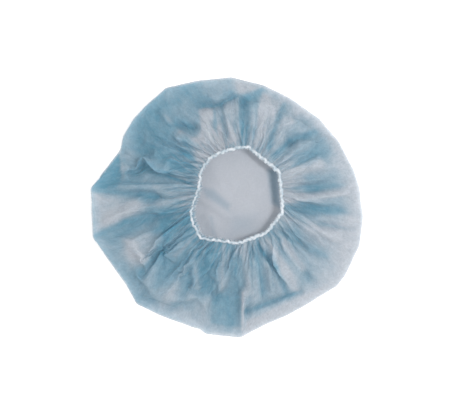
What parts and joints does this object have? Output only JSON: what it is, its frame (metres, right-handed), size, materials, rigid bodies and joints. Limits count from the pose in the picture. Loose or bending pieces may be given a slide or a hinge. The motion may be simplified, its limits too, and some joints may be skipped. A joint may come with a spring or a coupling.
{
  "type": "disposable bouffant cap",
  "caption": "Relaxed disposable cap of pleated, translucent non-woven fabric, lying on its flat crown with its small elasticated mouth up.",
  "frame": {"origin": "on the surface that the crown lies on, below the middle of the box round the folded edge", "axes": "+Z up, out of the cap's mouth; +X right and +Y up as the cap is seen from above in the picture"},
  "size_m": [0.3104, 0.2971, 0.0345],
  "materials": {
    "non_woven": "matt",
    "elastic": "matt"
  },
  "bodies": {
    "root": {"cap_body": "non_woven", "elastic_band": "elastic"}
  },
  "joints": []
}
